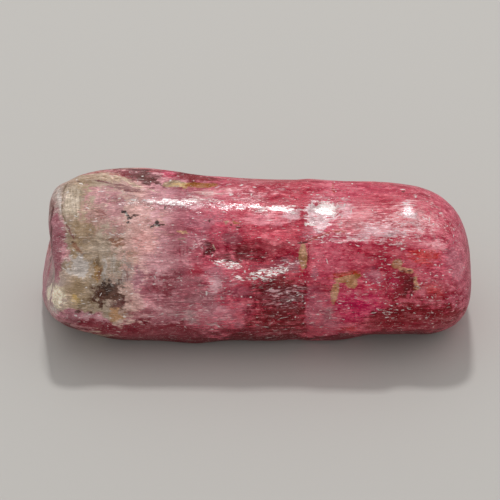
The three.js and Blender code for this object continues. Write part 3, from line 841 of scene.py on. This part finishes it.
# Each oval of a line reaches a little past its stretch, so that they join: this much of its length each way.
LINK_HALF = 0.6


def links_of(path, half_width):
    """The stretches of a line as long thin ovals."""
    links = []
    for (start_along, start_up), (end_along, end_up) in zip(path, path[1:]):
        length = math.hypot(end_along - start_along, end_up - start_up)
        lean = math.degrees(math.atan2(end_up - start_up, end_along - start_along))
        middle = ((start_along + end_along) / 2, (start_up + end_up) / 2)
        links.append((*middle, LINK_HALF * length + half_width, half_width, lean))
    return links


# Lines: cracks, furrows and scratches, and two of painted shade: the rim of the end face and the edge of the
# shadow under the splinter. Each has its colour, half width, strength and path.
LINES = [
    ("painted shade on the rim of the end face", "brown maroon", 0.07, 0.8,
     [(-9.3, 2.4), (-9.42, 1.4), (-9.38, 0.5), (-9.38, 0.1), (-9.46, -0.6)]),
    ("crack round the left corner", "dark olive", 0.045, 0.9,
     [(-8.72, 3.26), (-8.82, 2.9), (-8.92, 2.4), (-8.88, 1.9), (-8.7, 1.34)]),
    ("edge of the olive", "brown mauve", 0.06, 0.7, [(-8.7, 1.34), (-8.5, 1.02), (-8.35, 0.7)]),
    ("edge of the shadow under the splinter", "brown mauve", 0.06, 0.8,
     [(-7.4, 3.42), (-6.6, 3.3), (-5.8, 3.1)]),
    ("dark line under the chip", "brown maroon", 0.05, 0.95, [(2.0, 0.52), (2.2, 0.52), (2.45, 0.58)]),
    ("crack under the chip", "red brown", 0.05, 0.8, [(2.45, 0.58), (3.0, 0.86), (3.5, 1.05), (4.2, 1.1)]),
    ("crack down from the notch", "red brown", 0.05, 0.8, [(3.62, 3.3), (3.6, 2.95), (3.72, 2.85)]),
    ("dark edge over the first ledge", "oxblood", 0.05, 0.9, [(-1.45, -0.28), (-1.1, -0.3), (-0.6, -0.38)]),
    ("dark edge of the filling", "garnet", 0.05, 0.7, [(2.48, 0.5), (2.5, 0.0), (2.46, -0.5)]),
    ("tan rim of the pit", "splinter tan", 0.045, 0.8, [(-1.92, 0.46), (-1.82, 0.22)]),
    ("grey furrow by the ochre", "dark olive", 0.06, 0.7, [(-3.5, 0.68), (-3.2, 0.76)]),
    ("dark rim of the hollow", "oxblood", 0.06, 0.8, [(7.0, -0.95), (7.28, -1.2), (7.3, -1.6), (7.15, -2.0)]),
]
for what, name, half_width, strength, path in LINES:
    line = cluster(what, "hair", links_of(path, half_width), strength)
    skin_colour = lay(skin_colour, what, name, line)

# Specks of black and brown mineral on the skin, some with a grey middle: along, up, half length, half width,
# lean.
SPECKS = [
    ("black specks", "black", 0.9, [
        (-6.05, 1.98, 0.14, 0.07, 0), (-5.88, 1.83, 0.14, 0.06, -40), (-5.8, 1.68, 0.13, 0.1, 0),
        (-5.84, 1.47, 0.1, 0.06, 30), (-5.58, 1.78, 0.14, 0.05, 10), (-4.53, 1.48, 0.12, 0.12, 0),
        (-5.96, 1.92, 0.18, 0.06, -35), (-4.55, 1.38, 0.18, 0.05, 0), (-4.74, 1.3, 0.13, 0.06, 20),
        (-4.43, 1.35, 0.13, 0.07, -30), (-4.24, 1.38, 0.1, 0.04, 0),
    ]),
    ("brown specks", "dark brown", 0.85, [
        (-5.5, 1.83, 0.22, 0.06, 5), (-5.68, 1.73, 0.08, 0.05, 60), (-4.3, 1.37, 0.14, 0.05, 0),
        (-4.15, 2.15, 0.05, 0.12, -20), (-2.1, 1.55, 0.06, 0.08, 0), (-0.78, 1.25, 0.14, 0.05, -10),
        (-1.08, 1.36, 0.07, 0.05, 0), (-8.18, -2.66, 0.2, 0.08, 0), (-7.58, -2.68, 0.12, 0.05, 0),
        (-8.4, 0.58, 0.08, 0.05, 0), (6.86, 2.9, 0.1, 0.04, 0), (7.15, -0.76, 0.14, 0.05, 0),
        (-9.35, 2.25, 0.05, 0.12, 10), (-8.1, 3.38, 0.16, 0.03, -10),
    ]),
    ("grey middles", "silver", 0.8, [
        (-5.93, 1.87, 0.07, 0.07, 0), (-4.52, 1.32, 0.08, 0.05, 0), (-8.55, -0.05, 0.1, 0.06, 0),
    ]),
]
for what, name, strength, marks in SPECKS:
    skin_colour = lay(skin_colour, what, name, cluster(what, "hair", marks, strength))

# Depth in the colour: dark and pure where the skin is clear, and pale where streaks and mottle frost it. Then
# grit and strokes lighten it, as fine scratches do.
HAZE_RANGE = (0.75, 1.25)
GRIT_IN_TEXTURE = 0.65
TEXTURE_RANGE = (0.5, 1.15)
haze = add(tree, "Math", [streaks, mottle], operation="ADD").outputs[0]
skin_colour = add(tree, "HueSaturation", {
    "Saturation": add(tree, "MapRange", [haze, 0.8, 1.2, 1.1, 0.84]).outputs[0],
    "Value": add(tree, "MapRange", [haze, *HAZE_RANGE, 0.6, 1.42]).outputs[0],
    "Color": skin_colour,
}).outputs[0]
texture = add(tree, "Math", [grit, GRIT_IN_TEXTURE, strokes], operation="MULTIPLY_ADD").outputs[0]
skin_colour = add(tree, "HueSaturation", {
    "Value": add(tree, "MapRange", [texture, *TEXTURE_RANGE, 1.04, 1.5]).outputs[0],
    "Color": skin_colour,
}).outputs[0]

# The glassy hollow is clean, so it is laid over the grit and strokes.
HOLLOW = [
    ("glassy hollow", "garnet", "rags", 6.74, -1.5, 0.64, 0.8, -8, 0.9),
    # Painted glow: light shining through the stone from inside the hollow, in magenta.
    ("glow in the hollow", "magenta", "cloud", 6.45, -1.4, 0.5, 0.55, 0, 0.6),
    ("dark side of the hollow", "oxblood", "cloud", 7.08, -1.5, 0.22, 0.6, 0, 0.85),
]
for what, name, edge_name, *mark, strength in HOLLOW:
    skin_colour = lay(skin_colour, what, name, patch(edge_name, mark, strength))

# Scuffs: pale dashes where the skin was knocked, in drifts along the crystal, and painted glints: fine pale
# dots all over that stand in for the lamp's sparkle.
drifts = pattern(soft_place, 1.6, 0.8, detail=3, offset=5)
drift = add(tree, "MapRange", [drifts, 0.44, 0.6, 0.15, 1]).outputs[0]
sparkle = pattern(millimetres, 0.09, 0.06, detail=2, offset=71)
pale_dashes = add(tree, "MapRange", [dashes, 0.6, 0.66, 0, 0.85]).outputs[0]
scuffs = add(tree, "Math", [pale_dashes, drift], operation="MULTIPLY").outputs[0]
painted_glint_dots = add(tree, "MapRange", [sparkle, 0.665, 0.715, 0, 0.75]).outputs[0]
scuffs = add(tree, "Math", [scuffs, painted_glint_dots], operation="MAXIMUM").outputs[0]
skin_colour = lay(skin_colour, "scuffs", "white", scuffs)

# Painted glints: white marks that stand in for tiny broken faces throwing the lamp's light back. Along, up,
# half length, half width, lean.
PAINTED_GLINTS = [
    ("on the left corner", 0.95, [
        (-8.22, 3.46, 0.05, 0.029, 0), (-8.02, 3.27, 0.13, 0.05, -20), (-8.65, 2.88, 0.06, 0.029, 30),
        (-7.7, 2.16, 0.14, 0.029, -20), (-8.25, 1.78, 0.11, 0.029, -25), (-7.3, 1.66, 0.08, 0.022, 20),
        (-7.1, 2.91, 0.19, 0.025, 0), (-6.83, 2.55, 0.07, 0.025, -30), (-8.75, 1.45, 0.06, 0.036, 0),
        (-6.1, 2.94, 0.07, 0.029, 0), (-6.9, 3.05, 0.05, 0.029, 0), (-6.6, 0.93, 0.14, 0.025, -8),
        (-6.2, 0.93, 0.16, 0.025, 10), (-8.38, 0.2, 0.07, 0.036, -30), (-8.45, -0.02, 0.08, 0.036, 20),
        (-8.0, -0.14, 0.16, 0.029, -20), (-8.82, -0.66, 0.14, 0.032, -30), (-7.28, -0.97, 0.05, 0.036, 0),
        (-7.12, -0.96, 0.04, 0.029, 0), (-7.2, -0.79, 0.04, 0.022, 0), (-9.5, -1.48, 0.08, 0.036, 0),
        (-9.6, -2.27, 0.11, 0.022, 5), (-9.65, -1.7, 0.06, 0.036, 0), (-7.78, -1.52, 0.05, 0.043, 0),
        (-8.28, -2.82, 0.07, 0.032, -30), (-8.08, -2.92, 0.06, 0.029, 0), (-6.65, -2.96, 0.05, 0.029, 0),
        (-5.92, -1.72, 0.06, 0.036, 0), (-5.7, -1.82, 0.11, 0.032, 10), (-6.22, -2.08, 0.05, 0.029, 0),
        (-6.02, -2.85, 0.08, 0.058, -40), (-6.3, -3.57, 0.11, 0.022, 0), (-6.8, -3.3, 0.04, 0.029, 0),
        (-5.65, -0.67, 0.06, 0.036, -30), (-5.25, -3.1, 0.06, 0.025, -15), (-7.12, -1.85, 0.1, 0.025, 60),
        (-5.5, 3.8, 0.05, 0.036, 0), (-5.18, 3.62, 0.06, 0.036, 0), (-5.78, 3.82, 0.04, 0.029, 0),
        (-5.4, 3.38, 0.04, 0.029, 0), (-4.8, 3.36, 0.04, 0.029, 0), (-5.25, 3.0, 0.06, 0.022, 0),
    ]),
    ("along the ridge and over it", 0.95, [
        (-3.9, 3.42, 0.07, 0.036, 20), (-2.82, 3.39, 0.04, 0.029, 0), (-1.2, 3.24, 0.16, 0.022, -5),
        (-1.75, 3.1, 0.16, 0.022, 15), (-1.98, 2.87, 0.16, 0.022, 10), (-2.42, 2.83, 0.05, 0.029, 0),
        (-1.1, 2.76, 0.11, 0.065, 10), (-3.1, 2.87, 0.11, 0.02, 0), (-0.63, 3.2, 0.1, 0.029, 15),
        (0.0, 3.1, 0.13, 0.036, 0), (-0.15, 2.77, 0.04, 0.058, -30), (0.2, 2.5, 0.06, 0.022, 0),
        (3.65, 3.34, 0.06, 0.029, -30), (3.77, 2.9, 0.04, 0.029, 0), (2.62, 2.76, 0.08, 0.022, -25),
        (2.9, 2.76, 0.11, 0.025, 0), (3.08, 2.65, 0.06, 0.036, 20), (4.33, 2.67, 0.04, 0.043, 0),
        (4.1, 2.6, 0.1, 0.022, 20), (2.66, 2.34, 0.05, 0.065, -20), (4.15, 2.25, 0.03, 0.144, -10),
        (4.45, 2.0, 0.03, 0.158, -6), (4.05, 1.75, 0.03, 0.115, 0), (4.52, 3.27, 0.05, 0.029, 0),
        (6.85, 3.0, 0.13, 0.022, 0), (7.45, 2.66, 0.05, 0.043, 0), (7.98, 2.46, 0.06, 0.022, 0),
        (5.43, 2.05, 0.03, 0.029, 0), (8.6, 1.93, 0.11, 0.025, 8), (8.89, 1.35, 0.05, 0.043, 0),
        (9.2, 1.17, 0.03, 0.065, 0), (9.2, 0.85, 0.03, 0.072, 0), (8.08, 1.6, 0.03, 0.187, -8),
        (7.8, 1.18, 0.18, 0.02, 45), (7.42, 0.93, 0.13, 0.02, 10), (7.83, 1.68, 0.16, 0.02, -45),
        (7.15, 0.75, 0.07, 0.029, 20), (8.25, 1.4, 0.03, 0.086, -20), (7.12, 2.22, 0.08, 0.065, 0),
        (6.95, 2.35, 0.1, 0.036, -20),
    ]),
    ("on the bright band and by the pit", 0.9, [
        (0.7, 1.58, 0.21, 0.022, 0), (0.77, 1.2, 0.05, 0.025, 0), (1.35, 1.2, 0.1, 0.02, 0),
        (2.02, 1.13, 0.06, 0.022, 0), (0.2, 0.79, 0.11, 0.02, 0), (1.1, 0.68, 0.08, 0.022, 0),
        (1.6, 0.56, 0.07, 0.022, -10), (-0.82, 1.15, 0.06, 0.029, -15), (-0.65, 1.53, 0.04, 0.029, 0),
        (-0.57, 1.42, 0.04, 0.025, 0), (-1.45, 1.97, 0.08, 0.029, 10), (-3.8, 1.36, 0.08, 0.025, 0),
        (-2.83, 1.67, 0.06, 0.02, 0), (-2.72, 0.95, 0.1, 0.029, -15), (-2.33, 0.7, 0.13, 0.032, 8),
        (-2.72, 0.47, 0.08, 0.029, -20), (-2.82, 0.38, 0.04, 0.029, 0), (-2.44, 0.31, 0.06, 0.036, -30),
        (-2.25, 0.12, 0.05, 0.036, 0), (-4.75, 1.25, 0.06, 0.029, 0), (-0.7, 0.5, 0.08, 0.02, 0),
        (2.4, 0.7, 0.05, 0.036, 0), (2.85, 0.7, 0.1, 0.025, 10), (3.12, 0.8, 0.07, 0.029, 20),
        (3.4, 0.88, 0.08, 0.025, 25), (3.12, 0.64, 0.04, 0.029, 0), (3.6, 1.15, 0.06, 0.029, 0),
        (3.95, 0.55, 0.13, 0.025, -10), (4.6, 0.72, 0.13, 0.032, -25), (4.75, 0.4, 0.16, 0.022, -15),
        (4.85, 0.63, 0.1, 0.029, 0), (5.15, 0.78, 0.13, 0.029, -25), (5.0, 0.65, 0.11, 0.022, 0),
        (5.85, 0.72, 0.08, 0.022, 60), (6.3, 0.7, 0.13, 0.029, -10), (6.85, 0.78, 0.11, 0.022, 0),
    ]),
    ("on the ledges", 1.0, [
        (-1.53, -0.34, 0.08, 0.032, 0), (-1.1, -0.44, 0.21, 0.04, -8), (-0.68, -0.51, 0.05, 0.029, 0),
        (-1.72, -0.48, 0.07, 0.036, -20), (-1.18, -0.66, 0.13, 0.022, 0), (-0.27, -0.69, 0.05, 0.036, 0),
        (-1.03, -0.92, 0.1, 0.029, 10), (-0.45, -0.8, 0.08, 0.036, -50), (-0.1, -0.9, 0.16, 0.043, 10),
        (0.35, -0.77, 0.21, 0.043, 0), (0.75, -0.8, 0.1, 0.072, -20), (1.1, -0.76, 0.22, 0.05, 0),
        (1.39, -0.66, 0.05, 0.036, -20), (-0.7, -1.15, 0.21, 0.022, 3), (-1.13, -1.25, 0.06, 0.025, 0),
        (0.0, -1.12, 0.16, 0.058, 0), (0.4, -1.12, 0.11, 0.025, 0), (0.62, -1.1, 0.06, 0.025, 0),
        (-0.25, -1.15, 0.08, 0.029, 10), (1.35, -0.42, 0.04, 0.036, 0), (1.6, -0.4, 0.04, 0.029, 0),
        (0.8, -0.3, 0.04, 0.036, 0), (1.35, -1.06, 0.06, 0.022, 0), (-1.95, -0.05, 0.1, 0.029, 40),
        (1.15, -1.8, 0.11, 0.022, 25), (1.5, -1.77, 0.04, 0.029, 0), (1.98, -1.75, 0.05, 0.036, 0),
        (2.0, -1.88, 0.08, 0.022, 10), (2.22, -1.92, 0.05, 0.029, -30), (1.75, -2.1, 0.04, 0.036, 0),
        (2.34, -2.24, 0.05, 0.043, 0), (1.55, -2.15, 0.16, 0.022, 20), (1.2, -2.3, 0.1, 0.022, 20),
        (1.13, -1.5, 0.06, 0.043, 0), (0.72, -1.6, 0.1, 0.029, 20), (-0.6, -1.95, 0.06, 0.029, 0),
        (-0.18, -1.97, 0.06, 0.036, 0), (-0.32, -2.34, 0.11, 0.02, -8), (-1.54, -1.95, 0.03, 0.036, 0),
        (2.35, -1.27, 0.04, 0.036, 0), (1.88, -1.48, 0.06, 0.022, 0),
    ]),
    ("low on the front", 0.9, [
        (1.08, -2.67, 0.05, 0.029, 0), (1.9, -2.88, 0.05, 0.036, 0), (1.35, -2.93, 0.24, 0.02, 8),
        (0.75, -3.18, 0.11, 0.022, 30), (0.48, -3.36, 0.16, 0.022, 0), (0.12, -3.26, 0.13, 0.02, -8),
        (2.24, -3.17, 0.06, 0.036, 0), (2.62, -3.18, 0.13, 0.029, 0), (2.68, -1.98, 0.12, 0.025, 0),
        (2.9, -2.76, 0.13, 0.025, -8), (2.7, -2.53, 0.04, 0.029, 0), (3.3, -2.13, 0.11, 0.02, 8),
        (3.0, -2.16, 0.16, 0.02, 0), (3.95, -2.27, 0.11, 0.025, 10), (3.82, -2.2, 0.04, 0.029, 0),
        (4.1, -3.0, 0.08, 0.022, 0), (4.33, -2.49, 0.05, 0.022, 0), (3.47, -2.95, 0.04, 0.05, 0),
        (-4.27, -2.73, 0.06, 0.029, 0), (-4.25, -3.12, 0.08, 0.022, 0), (-2.87, -2.95, 0.05, 0.032, 0),
        (-3.2, -3.35, 0.06, 0.025, -20), (-3.48, -3.2, 0.04, 0.029, 0), (-1.65, -3.34, 0.05, 0.032, 0),
        (-2.26, -2.92, 0.06, 0.022, 0), (-2.47, -2.54, 0.08, 0.02, 0), (-2.95, -2.33, 0.19, 0.02, 8),
        (-2.5, -1.92, 0.03, 0.036, 0), (-0.17, -3.7, 0.05, 0.022, 0), (-2.22, -1.8, 0.05, 0.115, 0),
        (-4.6, -1.05, 0.03, 0.115, 30), (-3.4, -1.2, 0.1, 0.02, -40), (-2.92, -0.82, 0.05, 0.02, 0),
        (2.7, -0.18, 0.08, 0.036, 0), (2.75, -0.55, 0.06, 0.025, 0), (2.95, -0.3, 0.03, 0.036, 0),
        (3.35, -0.3, 0.03, 0.158, 20), (5.05, -0.91, 0.08, 0.025, 0), (3.3, -3.72, 0.04, 0.029, 0),
    ]),
    ("at the right end", 0.9, [
        (5.82, -0.6, 0.11, 0.022, 0), (6.05, -0.66, 0.06, 0.02, -20), (6.46, -0.87, 0.08, 0.029, -10),
        (6.22, -0.46, 0.1, 0.029, 0), (6.88, -0.35, 0.04, 0.029, 0), (6.42, -1.37, 0.07, 0.032, 0),
        (6.6, -1.42, 0.06, 0.022, 0), (5.4, -1.59, 0.06, 0.029, 0), (5.58, -1.62, 0.07, 0.022, 0),
        (5.45, -1.38, 0.11, 0.02, 25), (5.72, -1.3, 0.1, 0.02, 0), (5.15, -1.3, 0.03, 0.072, 0),
        (6.03, -2.27, 0.06, 0.029, 10), (6.3, -2.35, 0.13, 0.022, -15), (6.58, -2.27, 0.08, 0.022, -20),
        (5.5, -2.7, 0.19, 0.025, 10), (5.68, -2.55, 0.1, 0.022, -30), (5.95, -2.68, 0.08, 0.025, 0),
        (6.15, -2.65, 0.13, 0.022, 5), (6.58, -2.55, 0.08, 0.036, -20), (6.82, -2.58, 0.08, 0.032, 10),
        (7.1, -2.52, 0.13, 0.025, -15), (7.4, -2.7, 0.06, 0.036, -30), (6.1, -2.88, 0.11, 0.025, 10),
        (6.4, -2.94, 0.1, 0.022, 10), (7.93, -2.92, 0.08, 0.022, 0), (7.62, -3.0, 0.05, 0.029, 0),
        (8.2, -3.2, 0.06, 0.036, 0), (8.27, -3.35, 0.04, 0.036, 30), (8.2, -1.97, 0.07, 0.029, -40),
        (7.97, -1.98, 0.04, 0.029, 0), (7.97, -1.55, 0.04, 0.032, 0), (8.35, -1.5, 0.06, 0.022, 10),
        (7.72, -1.33, 0.06, 0.032, 0), (7.72, -0.8, 0.06, 0.022, 0), (7.9, -0.87, 0.08, 0.022, -30),
        (8.12, -0.92, 0.04, 0.05, 0), (8.1, -0.82, 0.05, 0.022, 0), (8.4, -0.98, 0.08, 0.025, 0),
        (8.7, -0.98, 0.06, 0.029, 0), (8.53, -0.53, 0.04, 0.05, 0), (8.35, -0.48, 0.08, 0.029, -30),
        (8.65, -0.45, 0.06, 0.022, 0), (9.05, -0.72, 0.11, 0.036, 10), (9.0, -0.82, 0.08, 0.029, -40),
        (9.65, -0.58, 0.03, 0.043, 0), (7.25, -1.88, 0.04, 0.072, 30), (9.3, -2.33, 0.05, 0.029, 0),
        (7.55, -2.35, 0.08, 0.043, 20), (9.78, -1.62, 0.03, 0.036, 0), (7.6, 0.18, 0.04, 0.043, 0),
        (7.85, 0.12, 0.04, 0.029, 0), (7.4, 0.0, 0.11, 0.022, 0), (8.2, -2.7, 0.08, 0.022, 0),
    ]),
]
# The painted glints are laid in white, broken up by the grit.
broken = add(tree, "MapRange", [grit, 0.35, 0.55, 0.45, 1]).outputs[0]
for what, strength, marks in PAINTED_GLINTS:
    skin_colour = lay(skin_colour, what, "white", cluster(what, "hair", marks, strength), broken)

# The skin is polished on the ridge, the chip, the knob and the ledges, and frosted elsewhere: along, up, half
# length, half width, lean.
POLISHED = [
    (-2.1, 2.38, 4.0, 0.42, -5), (0.6, 2.1, 1.6, 0.36, -6), (3.3, 2.0, 0.8, 0.6, 0),
    (7.15, 1.85, 0.6, 0.8, 0), (-1.0, -0.5, 0.8, 0.4, -10), (0.6, -0.8, 1.1, 0.3, 0),
]
polish = cluster("polished places", "rags", POLISHED, 0.94)

# Wear has smoothed the very top of the ridge, the chip and the knob, and the hollow is smooth as glass.
SMOOTHED = [
    (-0.75, 2.25, 1.5, 0.3, 0), (1.0, 2.1, 0.9, 0.25, 0), (3.25, 2.1, 0.6, 0.35, 0),
    (7.13, 1.95, 0.3, 0.45, 0), (-3.8, 2.43, 1.6, 0.16, 0), (6.72, -1.5, 0.62, 0.74, 0),
]
smooth = cluster("smoothed places", "crisp", SMOOTHED, 0.7)

# The skin's finest relief is too small for faces: strokes and grit stand up, and the scuffs and painted glint
# dots lie deeper.
STROKES_IN_RELIEF = 0.6
SCUFFS_AND_GLINTS_IN_RELIEF = -1.0
RELIEF_HEIGHT = 0.028 * MM
FROST_RANGE = (0.38, 0.6)
THINNEST_COAT = 0.06
relief = add(tree, "Math", [strokes, STROKES_IN_RELIEF, grit], operation="MULTIPLY_ADD").outputs[0]
relief = add(tree, "Math", [scuffs, SCUFFS_AND_GLINTS_IN_RELIEF, relief], operation="MULTIPLY_ADD").outputs[0]
rough = add(tree, "Math", [1.0, smooth], operation="SUBTRACT").outputs[0]
relief = add(tree, "Math", [relief, rough], operation="MULTIPLY").outputs[0]
bump = add(tree, "Bump", {"Height": relief, "Strength": 1.0, "Distance": RELIEF_HEIGHT}).outputs[0]
frost = add(tree, "MapRange", [haze, *HAZE_RANGE, *FROST_RANGE]).outputs[0]

# The polish is a clear coat over the frosted skin, which throws little light back by itself.
shine = add(tree, "BsdfPrincipled", {
    "Base Color": skin_colour,
    "Roughness": frost,
    "IOR": STONE_IOR,
    "Specular IOR Level": 0.12,
    "Coat Weight": add(tree, "Math", [polish, THINNEST_COAT], operation="ADD").outputs[0],
    "Coat Roughness": 0.14,
    "Coat IOR": STONE_IOR,
    "Normal": bump,
    "Coat Normal": bump,
})
add(tree, "OutputMaterial", {"Surface": shine.outputs[0]})
crystal.data.materials.clear()
crystal.data.materials.append(stone)


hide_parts("tourmaline_crystal")
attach(crystal, "root")


# The stage: a plain pale floor, a soft light all round and one lamp with a soft box straight over the stone.
FLOOR_SIZE = 400 * MM
bpy.ops.object.select_all(action="DESELECT")
bpy.ops.mesh.primitive_plane_add(size=FLOOR_SIZE, location=(0, 0, 0))
floor = bpy.context.object
floor.name = "floor"
paper = bpy.data.materials.new("matt paper")
paper.use_nodes = True
paper.node_tree.nodes["Principled BSDF"].inputs["Base Color"].default_value = linear("#C9C6C1")
paper.node_tree.nodes["Principled BSDF"].inputs["Roughness"].default_value = 0.9
floor.data.materials.append(paper)

LAMP_DISTANCE = 250 * MM
LAMP_WIDTH = 26 * MM
LAMP_RISE = math.radians(112)
LAMP_POWER = 0.2
bpy.ops.object.light_add(type="AREA")
lamp = bpy.context.object
lamp.name = "overhead soft box"
lamp.data.size = LAMP_WIDTH
lamp.data.energy = LAMP_POWER
toward_lamp = Vector((0, -math.cos(LAMP_RISE), math.sin(LAMP_RISE)))
lamp.location = toward_lamp * LAMP_DISTANCE
lamp.rotation_mode = "QUATERNION"
lamp.rotation_quaternion = toward_lamp.to_track_quat("Z", "Y")

room = bpy.data.worlds.new("soft room")
room.use_nodes = True
room.node_tree.nodes["Background"].inputs["Color"].default_value = linear("#FFFFFF")
room.node_tree.nodes["Background"].inputs["Strength"].default_value = 0.6
bpy.context.scene.world = room
bpy.context.scene.view_settings.view_transform = "Standard"

# The camera looks down on the front of the stone, through a long lens as for a close view.
LENS = 200
SENSOR = 36
bpy.ops.object.camera_add()
camera = bpy.context.object
camera.name = "camera"
camera.data.lens = LENS
camera.data.sensor_width = SENSOR
camera.data.clip_start = 10 * MM
camera.data.clip_end = 2000 * MM
camera.location = EYE * MM
camera.rotation_mode = "QUATERNION"
camera.rotation_quaternion = TOWARD_EYE.to_track_quat("Z", "Y")
bpy.context.scene.camera = camera
